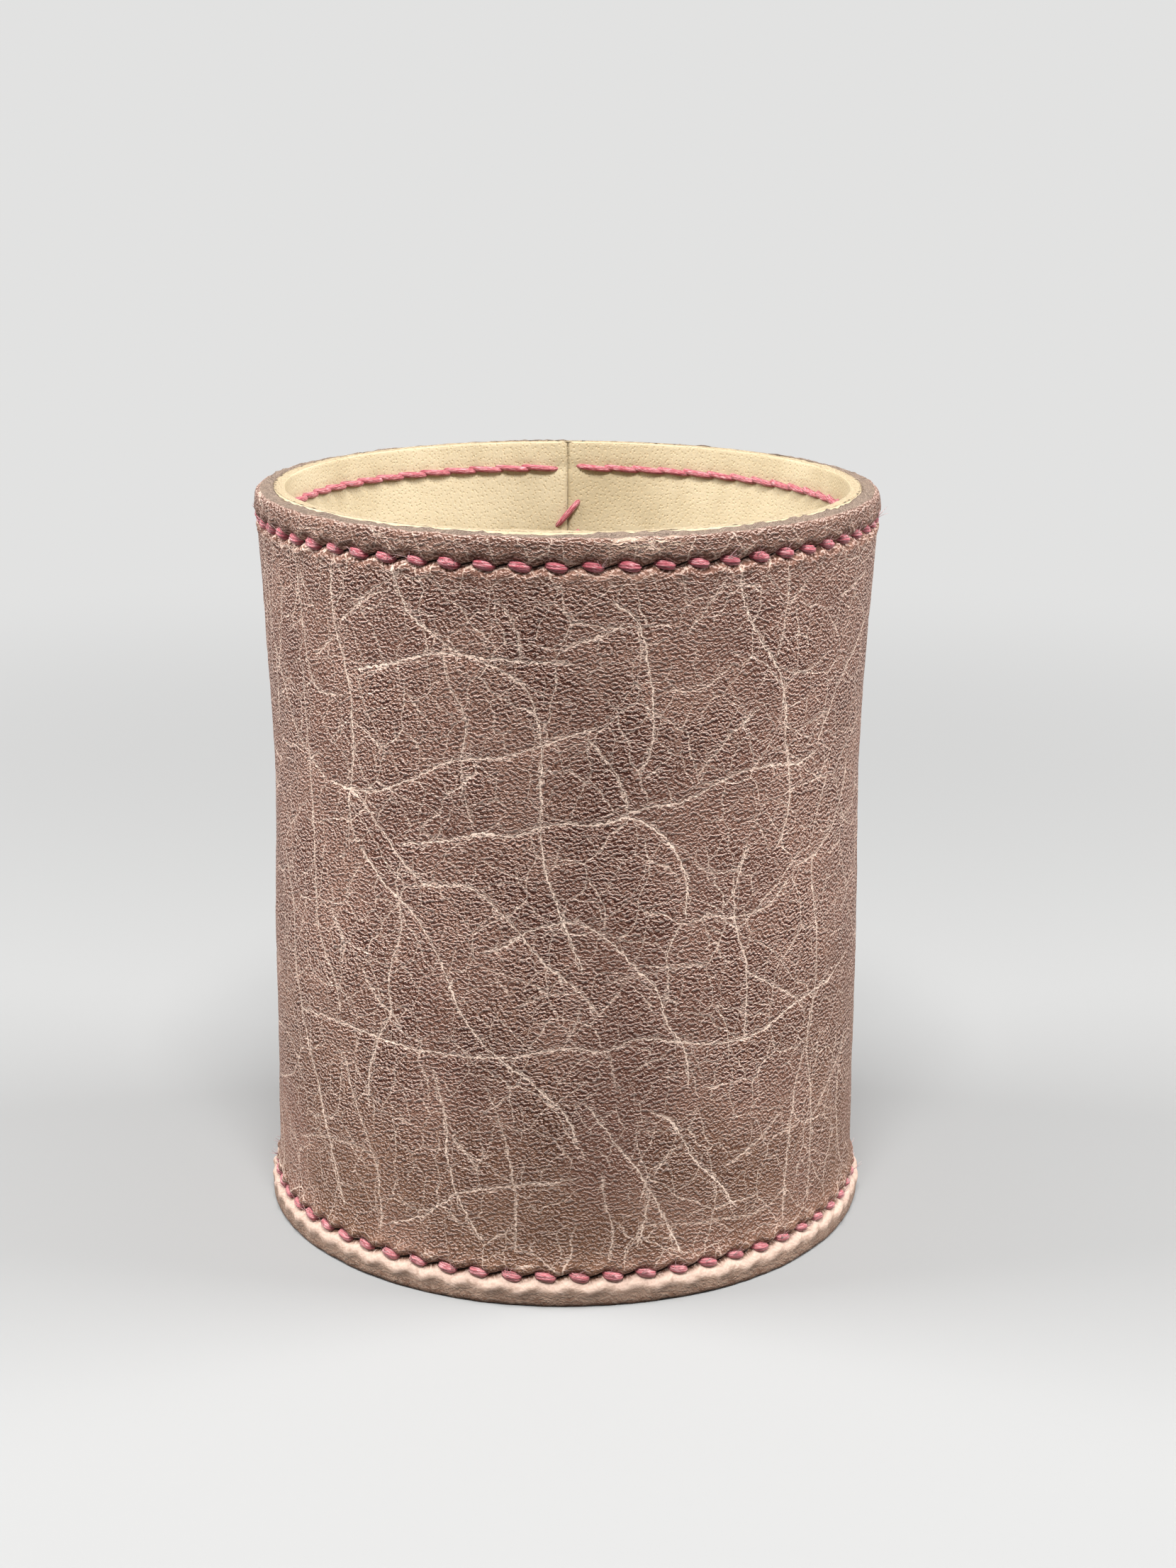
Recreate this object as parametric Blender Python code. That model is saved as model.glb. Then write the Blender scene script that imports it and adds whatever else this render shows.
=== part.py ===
# Can cooler sleeve: two strips of leather bent round a tall drinks can and sewn by hand.
# Metres, +Z up. The origin is the centre of the bottom edge, and the back seam faces +Y.
import math

import bmesh
import bpy
from mathutils import Vector

# The tube and its two layers
SLEEVE_HEIGHT = 0.092
GRIP_RADIUS = 0.0330
LEATHER_THICKNESS = 0.00215
LINER_THICKNESS = 0.00115
LAYER_GAP = 0.0003

# The curve of the wall: a waist, a belly below it, and a flare at each rim
WAIST_HEIGHT = 0.057
TOP_FLARE = 0.00155
TOP_FLARE_POWER = 1.3
BELLY_SWELL = 0.0005
BELLY_DROP = 0.028
HEM_FLARE = 0.0010
HEM_HEIGHT = 0.0078
EDGE_BEVEL = 0.0004

# The stitches and the slanted slits that they pass through
STITCH_PITCH = 0.0039
STITCH_INSET = 0.0035
BEAD_RADIUS = 0.0005
STRAND_RADIUS = 0.00032
STRAND_SPACING = 0.00084
THREAD_CLEARANCE = 0.00018
BEAD_CLEARANCE = 0.00025
SLIT_SLANT = 0.00045
SLIT_WIDENING = 0.3
SLIT_LENGTHENING = 1.9
GROOVE_DEPTH = 0.00105
GROOVE_REACH = 0.0021
BEAD_SHOULDER = 0.3

# The back seam
SEAM_GAP = 0.0003
SEAM_DRAW = 0.0006
LACE_PITCH = 0.0040
LACE_RADIUS = 0.00038
LACE_MARGIN = 0.0042

THREAD_SIDES = 5
AWL_SIDES = 4

# Sizes that follow from the ones above
WALL = LEATHER_THICKNESS + LAYER_GAP + LINER_THICKNESS
SLIT_HALF_WIDTH = STRAND_RADIUS + THREAD_CLEARANCE + SLIT_WIDENING * STRAND_SPACING
SLIT_HALF_HEIGHT = SLIT_LENGTHENING * STRAND_SPACING
BOTTOM_ROW = STITCH_INSET
TOP_ROW = SLEEVE_HEIGHT - STITCH_INSET
ROW_RADIUS = GRIP_RADIUS + WALL + TOP_FLARE
HOLE_COUNT = round(math.tau * ROW_RADIUS / STITCH_PITCH)
HOLE_STEP = math.tau / HOLE_COUNT
SEAM_HALF_ANGLE = 0.5 * SEAM_GAP / ROW_RADIUS


def clear_scene():
    for thing in list(bpy.data.objects):
        bpy.data.objects.remove(thing, do_unlink=True)


def material(name, colour, roughness):
    finish = bpy.data.materials.new(name)
    finish.use_nodes = True
    shader = finish.node_tree.nodes["Principled BSDF"]
    shader.inputs["Base Color"].default_value = (*colour, 1.0)
    shader.inputs["Roughness"].default_value = roughness
    shader.inputs["Metallic"].default_value = 0.0
    return finish


def add_object(name, mesh_data, finish):
    mesh = bpy.data.meshes.new(name)
    mesh_data.to_mesh(mesh)
    mesh_data.free()
    piece = bpy.data.objects.new(name, mesh)
    bpy.context.scene.collection.objects.link(piece)
    if finish:
        mesh.materials.append(finish)
    mesh.shade_smooth()
    mesh.set_sharp_from_angle(angle=math.radians(40))
    return piece


def ease(share):
    share = min(1.0, max(0.0, share))
    return share * share * (3.0 - 2.0 * share)


def wall_radius(z):
    """Radius of the sleeve's outer face, before the stitches pull their grooves into it."""
    radius = GRIP_RADIUS + WALL
    rise = (z - WAIST_HEIGHT) / (SLEEVE_HEIGHT - WAIST_HEIGHT)
    radius += TOP_FLARE * max(0.0, rise) ** TOP_FLARE_POWER
    radius += BELLY_SWELL * ease((WAIST_HEIGHT - z) / BELLY_DROP)
    return radius + HEM_FLARE * ease(1.0 - z / HEM_HEIGHT)


def groove_depth(z):
    nearest = min(abs(z - BOTTOM_ROW), abs(z - TOP_ROW))
    return GROOVE_DEPTH * max(0.0, 1.0 - nearest / GROOVE_REACH)


def edge_bevel(z):
    from_edge = min(z, SLEEVE_HEIGHT - z)
    return EDGE_BEVEL * max(0.0, 1.0 - from_edge / EDGE_BEVEL)


def seam_draw(angle):
    """How far the lacing pulls the two ends in: fully up to the first slit, and not at the second."""
    slits_away = min(angle, math.tau - angle) / HOLE_STEP
    return SEAM_DRAW * min(1.0, max(0.0, 1.5 - slits_away))


def leather_face(angle, z):
    return wall_radius(z) - groove_depth(z) - edge_bevel(z) - seam_draw(angle)


def leather_back(angle, z):
    return wall_radius(z) - LEATHER_THICKNESS


def liner_back(angle, z):
    return leather_back(angle, z) - LAYER_GAP


def liner_face(angle, z):
    return liner_back(angle, z) - LINER_THICKNESS


def around(angle, radius, z):
    """A point of the tube. The angle starts at the back seam and runs to the right, seen from outside."""
    return Vector((-radius * math.sin(angle), radius * math.cos(angle), z))


def hole_angle(index):
    return (index + 0.5) * HOLE_STEP


def sheet_rows():
    """Heights of the rows of points, each with True where the stitch slits are at their widest."""
    rows = {0.0: False, EDGE_BEVEL: False, SLEEVE_HEIGHT - EDGE_BEVEL: False, SLEEVE_HEIGHT: False}
    for row in (BOTTOM_ROW, TOP_ROW):
        rows[row - SLIT_HALF_HEIGHT] = False
        rows[row] = True
        rows[row + SLIT_HALF_HEIGHT] = False
    shoulder = 0.5 * (WAIST_HEIGHT + TOP_ROW)
    for z in (HEM_HEIGHT, WAIST_HEIGHT - BELLY_DROP, WAIST_HEIGHT, shoulder):
        rows[z] = False
    return sorted(rows.items())


def row_angles(z, at_slits):
    """Angles of one row's points: the seam's two ends, and one or two points at each slit."""
    angles = [SEAM_HALF_ANGLE]
    half_width = SLIT_HALF_WIDTH / ROW_RADIUS
    slant = 0.0
    for row in (BOTTOM_ROW, TOP_ROW):
        if abs(z - row) < 1.5 * SLIT_HALF_HEIGHT:
            slant = SLIT_SLANT / ROW_RADIUS * (z - row) / SLIT_HALF_HEIGHT
    for index in range(HOLE_COUNT):
        if at_slits:
            angles += [hole_angle(index) - half_width, hole_angle(index) + half_width]
        else:
            angles.append(hole_angle(index) + slant)
    return angles + [math.tau - SEAM_HALF_ANGLE]


def sheet_columns(points, at_slits):
    """Pairs each gap between slits with its left and right points in the row."""
    if at_slits:
        return [(points[2 * gap], points[2 * gap + 1]) for gap in range(HOLE_COUNT + 1)]
    return [(points[gap], points[gap + 1]) for gap in range(HOLE_COUNT + 1)]


def sheet(name, outer, inner, finish):
    """One strip, bent round, with its slits, its two cut rims and its two ends at the seam."""
    data = bmesh.new()
    faces = []
    for surface in (outer, inner):
        grid = []
        for z, at_slits in sheet_rows():
            angles = row_angles(z, at_slits)
            points = [data.verts.new(around(angle, surface(angle, z), z)) for angle in angles]
            grid.append((points, sheet_columns(points, at_slits), at_slits))
        for (_, lower, _), (_, upper, _) in zip(grid, grid[1:]):
            for (left, right), (left_up, right_up) in zip(lower, upper):
                data.faces.new((left, right, right_up, left_up))
        faces.append(grid)
    outside, inside = faces
    for row in (0, -1):
        for (left, right), (back_left, back_right) in zip(outside[row][1], inside[row][1]):
            data.faces.new((left, right, back_right, back_left))
    for end in (0, -1):
        for row in range(len(outside) - 1):
            data.faces.new((outside[row][0][end], outside[row + 1][0][end],
                            inside[row + 1][0][end], inside[row][0][end]))
    for row, (_, _, at_slits) in enumerate(outside):
        if at_slits:
            for index in range(HOLE_COUNT):
                slit_walls(data, outside, inside, row, index)
    bmesh.ops.recalc_face_normals(data, faces=data.faces)
    return add_object(name, data, finish)


def slit_walls(data, outside, inside, row, index):
    loops = []
    for grid in (outside, inside):
        bottom = grid[row - 1][0][index + 1]
        left, right = grid[row][0][2 * index + 1], grid[row][0][2 * index + 2]
        top = grid[row + 1][0][index + 1]
        loops.append((bottom, right, top, left))
    front, back = loops
    for corner in range(4):
        after = (corner + 1) % 4
        data.faces.new((front[corner], front[after], back[after], back[corner]))


def thread(name, path, finish):
    """A closed tube along a path of (point, radius), with mitred bends and a cap at each end."""
    data = bmesh.new()
    rings = []
    for index, (point, radius) in enumerate(path):
        before = point - path[max(0, index - 1)][0]
        after = path[min(len(path) - 1, index + 1)][0] - point
        before = (before if before.length > 0 else after).normalized()
        after = (after if after.length > 0 else before).normalized()
        along = (before + after).normalized()
        upright = (Vector((0, 0, 1)) - along * along.z).normalized()
        across = along.cross(upright)
        bend = after - before
        stretch = 1.0 / max(0.5, along.dot(after)) - 1.0
        bend = bend.normalized() if bend.length > 1e-6 else Vector()
        ring = []
        for side in range(THREAD_SIDES):
            turn = math.tau * (side + 0.5) / THREAD_SIDES
            arm = radius * (math.cos(turn) * upright + math.sin(turn) * across)
            ring.append(data.verts.new(point + arm + stretch * arm.dot(bend) * bend))
        rings.append(ring)
    for ring, following in zip(rings, rings[1:]):
        for side in range(THREAD_SIDES):
            after = (side + 1) % THREAD_SIDES
            data.faces.new((ring[side], ring[after], following[after], following[side]))
    data.faces.new(rings[0])
    data.faces.new(rings[-1])
    bmesh.ops.recalc_face_normals(data, faces=data.faces)
    return add_object(name, data, finish)


def port(index, row, upper):
    """Angle and height where a strand passes through a slit: its upper or its lower half."""
    offset = 0.5 * STRAND_SPACING if upper else -0.5 * STRAND_SPACING
    slant = SLIT_SLANT / ROW_RADIUS * offset / SLIT_HALF_HEIGHT
    return hole_angle(index) + slant, row + offset


def outside_stitch(start, row):
    """A plump bead from the upper half of one slit down to the lower half of the next."""
    angle_a, z_a = port(start, row, True)
    angle_b, z_b = port(start + 1, row, False)
    lift = BEAD_RADIUS + BEAD_CLEARANCE
    path = []
    for share in (0.0, BEAD_SHOULDER, 1.0 - BEAD_SHOULDER, 1.0):
        angle = angle_a + share * (angle_b - angle_a)
        z = z_a + share * (z_b - z_a)
        radius = STRAND_RADIUS if share in (0.0, 1.0) else BEAD_RADIUS
        path.append((around(angle, leather_face(angle, row) + lift, z), radius))
    return path


def inside_stitch(start, row):
    angle_a, z_a = port(start, row, False)
    angle_b, z_b = port(start + 1, row, True)
    depth = STRAND_RADIUS + THREAD_CLEARANCE
    return [(around(angle, liner_face(angle, row) - depth, z), STRAND_RADIUS)
            for angle, z in ((angle_a, z_a), (angle_b, z_b))]


def strand(first, row):
    """One strand from its first outside stitch to the last slit, in and out by turns."""
    path = []
    start = first
    while start + 1 < HOLE_COUNT:
        path += outside_stitch(start, row)
        if start + 2 < HOLE_COUNT:
            path += inside_stitch(start + 1, row)
        start += 2
    if start == HOLE_COUNT:
        angle, z = port(HOLE_COUNT - 1, row, False)
        depth = 2.0 * STRAND_RADIUS + THREAD_CLEARANCE
        path.append((around(angle, liner_face(angle, row) - depth, z), STRAND_RADIUS))
    return path


def saddle_stitching(name, row, finish):
    """One thread whose middle lies in the first slit, and whose two strands sew alternate gaps."""
    other = inside_stitch(0, row) + strand(1, row)
    return thread(name, other[::-1] + strand(0, row), finish)


def lace_heights():
    low, high = BOTTOM_ROW + LACE_MARGIN, TOP_ROW - LACE_MARGIN
    count = max(2, round((high - low) / LACE_PITCH) + 1)
    return [low + (high - low) * index / (count - 1) for index in range(count)]


def lace_angles():
    return math.tau - 0.5 * HOLE_STEP, 0.5 * HOLE_STEP


def seam_lacing(name, finish):
    """Level bars across the seam outside, and a slanting run from each bar to the next inside."""
    path = []
    left, right = lace_angles()
    out_lift = LACE_RADIUS + THREAD_CLEARANCE
    for z in lace_heights():
        inside_left = around(left, liner_face(left, z) - out_lift, z)
        inside_right = around(right, liner_face(right, z) - out_lift, z)
        outside_left = around(left, leather_face(left, z) + out_lift, z)
        outside_right = around(right, leather_face(right, z) + out_lift, z)
        for point in (inside_left, outside_left, outside_right, inside_right):
            path.append((point, LACE_RADIUS))
    return thread(name, path, finish)


def awl_cutter():
    """Diamond awl blades for the two columns of lacing holes, through both layers."""
    data = bmesh.new()
    reach = 2.0 * WALL
    blade = (LACE_RADIUS + THREAD_CLEARANCE) / math.cos(math.pi / AWL_SIDES)
    for angle in lace_angles():
        for z in lace_heights():
            middle = around(angle, wall_radius(z) - 0.5 * WALL, z)
            outward = around(angle, 1.0, 0.0)
            turn = Vector((0, 0, 1)).rotation_difference(outward).to_matrix().to_4x4()
            turn.translation = middle
            bmesh.ops.create_cone(data, cap_ends=True, segments=AWL_SIDES, depth=reach,
                                  radius1=blade, radius2=blade, matrix=turn)
    cutter = add_object("awl_blades", data, None)
    cutter.hide_render = True
    cutter.display_type = "WIRE"
    return cutter


def punch(piece, cutter):
    cut = piece.modifiers.new("lacing holes", "BOOLEAN")
    cut.operation = "DIFFERENCE"
    cut.object = cutter


def build_sleeve():
    clear_scene()
    brown = material("brown leather", (0.20, 0.125, 0.093), 0.55)
    cream = material("pale liner leather", (0.82, 0.74, 0.55), 0.8)
    crimson = material("waxed crimson thread", (0.42, 0.075, 0.105), 0.45)
    cutter = awl_cutter()
    punch(sheet("outer_leather", leather_face, leather_back, brown), cutter)
    punch(sheet("liner", liner_back, liner_face, cream), cutter)
    saddle_stitching("top_stitching", TOP_ROW, crimson)
    saddle_stitching("bottom_stitching", BOTTOM_ROW, crimson)
    seam_lacing("seam_stitching", crimson)


build_sleeve()
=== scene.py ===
# Can cooler sleeve: its leather, liner and waxed stitching in full detail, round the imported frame.
import math

import bpy
import numpy as np
from mathutils import Matrix, Vector


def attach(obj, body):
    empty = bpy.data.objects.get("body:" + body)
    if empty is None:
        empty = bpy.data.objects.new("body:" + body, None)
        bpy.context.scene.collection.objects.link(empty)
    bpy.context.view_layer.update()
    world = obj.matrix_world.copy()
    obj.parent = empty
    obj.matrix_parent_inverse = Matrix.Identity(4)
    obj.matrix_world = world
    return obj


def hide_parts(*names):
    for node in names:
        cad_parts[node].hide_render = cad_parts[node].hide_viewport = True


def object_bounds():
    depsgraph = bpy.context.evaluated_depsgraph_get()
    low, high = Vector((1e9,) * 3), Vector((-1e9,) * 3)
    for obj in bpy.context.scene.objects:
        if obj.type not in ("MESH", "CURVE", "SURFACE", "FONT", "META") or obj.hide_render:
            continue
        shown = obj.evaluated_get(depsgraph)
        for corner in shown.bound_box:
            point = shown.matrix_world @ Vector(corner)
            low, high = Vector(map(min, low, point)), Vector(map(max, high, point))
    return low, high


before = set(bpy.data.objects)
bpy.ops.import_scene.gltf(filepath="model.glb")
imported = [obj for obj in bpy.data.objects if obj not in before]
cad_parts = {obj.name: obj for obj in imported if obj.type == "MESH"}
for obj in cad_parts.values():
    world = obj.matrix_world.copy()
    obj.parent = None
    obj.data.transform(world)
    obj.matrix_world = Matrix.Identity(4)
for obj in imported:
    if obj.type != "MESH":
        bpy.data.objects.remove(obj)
cad_low, cad_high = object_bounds()

# Lengths are in millimetres, and MM turns them into Blender's metres.
# Only the floor's and the lamps' are in metres.
MM = 0.001
HEIGHT = (cad_high.z - cad_low.z) / MM

# The wall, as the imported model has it
GRIP_RADIUS = 33.0
WALL = 3.6
WAIST_HEIGHT = 57.0
TOP_FLARE = 1.55
TOP_FLARE_POWER = 1.3
BELLY_SWELL = 0.5
BELLY_DROP = 28.0
HEM_FLARE = 1.0
HEM_HEIGHT = 7.8
LEATHER = 2.28
TOP_CORNER = 0.8
TOP_CHAMFER = 0.26
BOTTOM_CORNER = 0.5
STRIP_RADIUS = 37.2

# The stitch rows
HOLES = 61
STEP = math.tau / HOLES
STITCH_INSET = 3.5
BOTTOM_ROW = STITCH_INSET
TOP_ROW = HEIGHT - STITCH_INSET
SLIT_SHARE = 0.25
ZIGZAG = 0.30
GROOVE_BEAD = 0.74
GROOVE_SLIT = 0.86
GROOVE_WIDTH = 0.77
GROOVE_NARROWING = 0.43
BEAD_RADIUS = 0.62
BOTTOM_BEAD_SIZE = 0.88
BEAD_END_RADIUS = 0.26
BEAD_DIP = 1.3
BEAD_SEAT = 0.62
INSIDE_RADIUS = 0.42
INSIDE_DIP = 0.5
INSIDE_RISE = 0.25
PORT_SHARE = 0.8
LINER_PULL = 0.22

# The leather swells beside each row: how high at a hole, and what share of that is left between two holes
BOTTOM_SWELL = (0.40, 0.45)
TOP_SWELL = (0.28, 0.65)
INNER_SWELL = (0.25, 0.32)

# The holes were pricked by hand: they lie wider apart at the front and back than at the sides.
HOLE_SPREAD = 0.025
HOLE_DRIFT_BOTTOM = -0.010
HOLE_DRIFT_TOP = 0.022
CELL_COLUMNS = (0.0, 0.15, 0.27, 0.38, 0.5, 0.62, 0.73, 0.85)

# The back seam
SEAM_GAP = 0.14
SEAM_TOUCH = 0.004
SEAM_DRAW = 0.6
SEAM_ROLL = 0.55
SEAM_ROLL_WIDTH = 0.7
LACE_MARGIN = 4.2
LACE_PITCH = 4.0
LACE_RADIUS = 0.45
LACE_DIP = 1.0

# The creases that show on the front: how strong each is, then the points that it runs through.
# A point is the way round from the front's middle, with the right as plus, then the height.
CREASES = (
    (1.0, (-21, 90), (-18, 82.5), (-13.5, 79), (-7, 76.5), (-5, 75), (-3, 69.5), (-3, 61), (-2.5, 54),
     (0, 46.5), (2, 41)),
    (1.0, (-21, 54.8), (-15, 56), (-9.5, 57.5), (-7, 57.3), (-2, 58.8), (3, 58.9), (8, 59.4), (11.5, 57),
     (14.2, 52), (14.2, 46.5)),
    (1.0, (-27, 54), (-23, 50), (-18, 46.3), (-14.5, 40.5), (-12, 35), (-8, 30.8), (-3, 27), (0.5, 23),
     (1.5, 20)),
    (0.9, (-45, 49), (-42, 43.5), (-41, 36.5), (-38.7, 28.5), (-35.3, 21.5), (-32.8, 14.5), (-30, 7)),
    (0.9, (-32, 60.6), (-27.5, 60), (-23, 56), (-19.5, 52.3), (-17, 50.8), (-11.5, 51), (-7, 47.5),
     (-3, 43), (2.5, 38), (4, 36)),
    (0.9, (-10, 43.3), (-7, 44.4), (-4.5, 46), (0, 47.4), (3, 46.5), (7, 43), (10.5, 38.8), (12, 34.5),
     (14.2, 31), (14.8, 26)),
    (0.9, (-30, 60.3), (-25, 60.5), (-19, 62.8), (-14.5, 65.3), (-6, 67), (0, 69.2), (4, 70.3)),
    (0.9, (-27, 74.8), (-22, 76), (-14, 78.2), (-10, 78.1), (-5, 77.7), (1, 77.7)),
    (0.9, (19.5, 90), (20.5, 84), (23.5, 78.5), (27, 73.5), (28.2, 66), (29.2, 58.5), (28, 54.5),
     (26.5, 53)),
    (0.9, (9.5, 24.2), (12.8, 22.2), (15.5, 17.3), (19, 13.5), (22, 9.5)),
    (0.9, (2, 26), (5.2, 21), (9, 16), (11, 12), (14.3, 5)),
    (0.9, (4.5, 85), (7.5, 82.5), (8.9, 78), (9.8, 71.5), (9.3, 66.5), (7.6, 64.5)),
    (0.8, (-40, 30.2), (-30, 31), (-20, 30.5), (-6, 31), (0, 32.2), (5, 31.8), (8, 33), (13, 32.1),
     (24, 31.3), (30, 33.2), (38, 34.2), (46, 36)),
    (0.8, (5.5, 59.5), (8, 60.3), (14, 61), (20, 63.3), (26, 63.7), (30, 63), (35, 64.2)),
    (0.8, (-29, 88), (-29.5, 81), (-27.6, 74), (-27.2, 65), (-28.2, 57), (-27, 53.5)),
    (0.8, (-16.5, 29), (-14.5, 23), (-14.2, 17.5), (-12.7, 12), (-9.5, 7)),
    (0.8, (34, 64.5), (38, 70), (42, 73.5), (48, 77.5)),
    (0.8, (30, 50.3), (36, 51.5), (40.5, 54.7), (43, 58), (44, 62)),
    (0.7, (-46, 75), (-42.5, 70.5), (-39.5, 65.5), (-36, 62.5), (-32, 60.3)),
    (0.7, (-36.8, 74), (-36.2, 60), (-35.4, 48), (-35, 42.5), (-31, 35.5), (-30, 32)),
    (0.7, (-37, 90), (-36, 80), (-34.7, 73), (-33.5, 71.3), (-29, 71.2)),
    (0.7, (-20.3, 53.5), (-21, 50), (-20.3, 45), (-22.2, 38), (-21.8, 34.5), (-23.8, 30.5), (-25.4, 25),
     (-25.5, 21)),
    (0.7, (-26.5, 39.5), (-25, 36.8), (-20, 32.8)),
    (0.7, (-27.3, 68.7), (-25, 67.7), (-21.8, 65)),
    (0.7, (2, 69.5), (5, 65.5), (6.8, 62), (7, 59.8)),
    (0.7, (-1, 79), (3, 80.5), (7, 82.2)),
    (0.7, (14.3, 46.3), (17.5, 47), (20.5, 46.2), (27, 47.3), (30, 50)),
    (0.7, (22.8, 55.5), (20.8, 48.5), (20.8, 46), (22.3, 41), (22.5, 34), (22.4, 31)),
    (0.7, (22.3, 39.5), (26.5, 36.8), (30.5, 34.5), (33, 32)),
    (0.7, (34.3, 52), (34.4, 46), (35.3, 42), (35.2, 34), (33.6, 29), (34.8, 21), (35, 12), (34.5, 6)),
    (0.7, (33.5, 28), (31.3, 22.5), (30.3, 15), (29.5, 5)),
    (0.7, (45, 26), (42.6, 19), (43, 13.5), (45.5, 7)),
    (0.7, (-29.7, 27.5), (-27.5, 21), (-24.2, 13.5), (-23.7, 6)),
    (0.7, (-23, 7), (-17.5, 9.5), (-13, 13), (-7, 14.7), (2, 16)),
    (0.7, (9.9, 15.2), (9.7, 11), (8.3, 6.5)),
    (0.6, (14.2, 47), (12.1, 44), (12, 40), (11.5, 36)),
    (0.6, (-14, 80), (-13.9, 76), (-11.5, 70), (-12.3, 65.5), (-11, 58)),
    (0.6, (-9.5, 27.5), (-7.5, 22), (-6, 14), (-6, 6)),
    (0.6, (-28.5, 80), (-24, 83.5), (-20.5, 84.8)),
    (0.6, (13, 80), (15, 82.5), (18.5, 87)),
    (0.6, (15, 63.5), (19, 67.7), (24, 71.2)),
    (0.6, (35, 17.3), (40, 21), (46, 25.5)),
    (0.6, (10.2, 15.3), (12, 18), (14.5, 19.5)),
    (0.6, (4.3, 17), (4.5, 13), (5.5, 10), (5.2, 5)),
    (0.5, (26.7, 88), (27, 82.5), (25.8, 76)),
    (0.5, (27, 82.3), (30.5, 85.5)),
    (0.5, (1.8, 38), (1.2, 35.5), (-0.8, 31.3)),
    (0.5, (-33.8, 75), (-29, 78.6)),
    (0.5, (-41, 83), (-42.5, 76), (-44.5, 71)),
    (0.5, (-14, 20.5), (-12, 18.5), (-10, 15.5)),
    (0.5, (-41, 12.7), (-34, 15), (-27, 15.8), (-24, 15)),
    (0.5, (-32.5, 45.5), (-29.6, 41.5), (-29.8, 38)),
    (0.5, (19.5, 15.2), (24, 17), (29, 20.5)),
    (0.5, (40, 55), (46, 52)),
    (0.5, (37, 81.7), (46, 83.6)),
    (0.5, (-8, 85), (-5.8, 82), (-5.3, 77.5)),
    (0.4, (29, 66.6), (37, 68.6)),
    (0.4, (10.5, 74.3), (16, 74.2), (20, 77)),
    (0.4, (26, 75.4), (30, 74), (36, 75.6)),
    (0.4, (9, 9.6), (18, 8.7), (27, 8.3), (31, 10.5)),
    (0.4, (5, 32), (5.3, 29.5), (6, 26.5)),
    (0.4, (15, 53.3), (18, 52), (22, 52)),
    (0.4, (4, 40), (10, 41), (18, 41.4)),
    (0.4, (-6, 36.8), (-3, 38.4), (2, 39)),
    (0.4, (-18, 55.5), (-17, 58), (-14.5, 59.8)),
    (0.4, (-29.5, 46.5), (-28, 49.5), (-26.5, 52)),
)
CREASE_LAYERS = 6
CREASE_REACH = 1.8
CREASE_TAPER = 1.3
CREASE_CONTRAST = 0.75
FURROW_DEPTH = 0.09
FURROW_WIDTH = 0.45
HIDDEN_CREASES = 76
HIDDEN_FROM, HIDDEN_TO = 47.0, 115.0
HIDDEN_HEADINGS = (-88, -70, -58, -48, 6, 14, 34)

RIM_WRINKLE_WAY = 8.5
RIM_WRINKLE_REACH = 5.5


# Geometry helpers

def ease(share):
    share = np.clip(share, 0.0, 1.0)
    return share * share * (3.0 - 2.0 * share)


def bump(x, centre, width):
    return np.exp(-((x - centre) / width) ** 2)


def noise(u, v, seed, layers=1):
    """Smooth noise from -1 to 1, with about one bump for each unit of u and of v."""
    total = 0.0
    for layer in range(layers):
        table = np.random.default_rng(seed + layer).uniform(-1.0, 1.0, (256, 256))
        x, y = u * 2.0 ** layer, v * 2.0 ** layer
        column, row = np.floor(x).astype(int), np.floor(y).astype(int)
        across, up = ease(x - column), ease(y - row)
        left, right = column % 256, (column + 1) % 256
        below, above = row % 256, (row + 1) % 256
        low = table[left, below] * (1 - across) + table[right, below] * across
        high = table[left, above] * (1 - across) + table[right, above] * across
        total = total + (low * (1 - up) + high * up) / 2.0 ** layer
    return total


def wall_radius(z):
    rise = np.clip((z - WAIST_HEIGHT) / (HEIGHT - WAIST_HEIGHT), 0.0, 1.0)
    return (GRIP_RADIUS + WALL + TOP_FLARE * rise ** TOP_FLARE_POWER
            + BELLY_SWELL * ease((WAIST_HEIGHT - z) / BELLY_DROP)
            + HEM_FLARE * ease(1.0 - z / HEM_HEIGHT))


def around(angle, radius, z):
    """Points of the tube: the angle starts at the back seam and runs to the right, from outside."""
    return np.stack([-radius * np.sin(angle), radius * np.cos(angle), z + 0.0 * angle], axis=-1)


def hole_shift(angle, z):
    drift = HOLE_DRIFT_BOTTOM + (HOLE_DRIFT_TOP - HOLE_DRIFT_BOTTOM) * z / HEIGHT
    front = angle - math.pi
    return HOLE_SPREAD * np.sin(2.0 * front) + drift * 0.5 * (1.0 + np.cos(front))


def cell_of(angle, z):
    """Counts the stitch holes round the tube: a whole number at each hole."""
    return (angle - hole_shift(angle, z)) / STEP - 0.5


def angle_of(cell, z):
    even = (cell + 0.5) * STEP
    angle = even
    for _ in range(5):
        angle = even + hole_shift(angle, z)
    return angle


def zigzag(cell):
    """Height of the stitch line about its row: down along each bead, and up through each slit."""
    part = cell - np.floor(cell)
    return np.interp(part, (0.0, SLIT_SHARE, 1.0 - SLIT_SHARE, 1.0), (0.0, ZIGZAG, -ZIGZAG, 0.0))


def seam_draw(angle):
    """How far the lacing pulls the two ends in, with each cut end rolling down into the seam."""
    away = np.minimum(angle, math.tau - angle) / STEP
    roll = SEAM_ROLL * np.exp(-(away * STEP * STRIP_RADIUS / SEAM_ROLL_WIDTH) ** 2)
    return SEAM_DRAW * ease(1.5 - away) + roll


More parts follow.
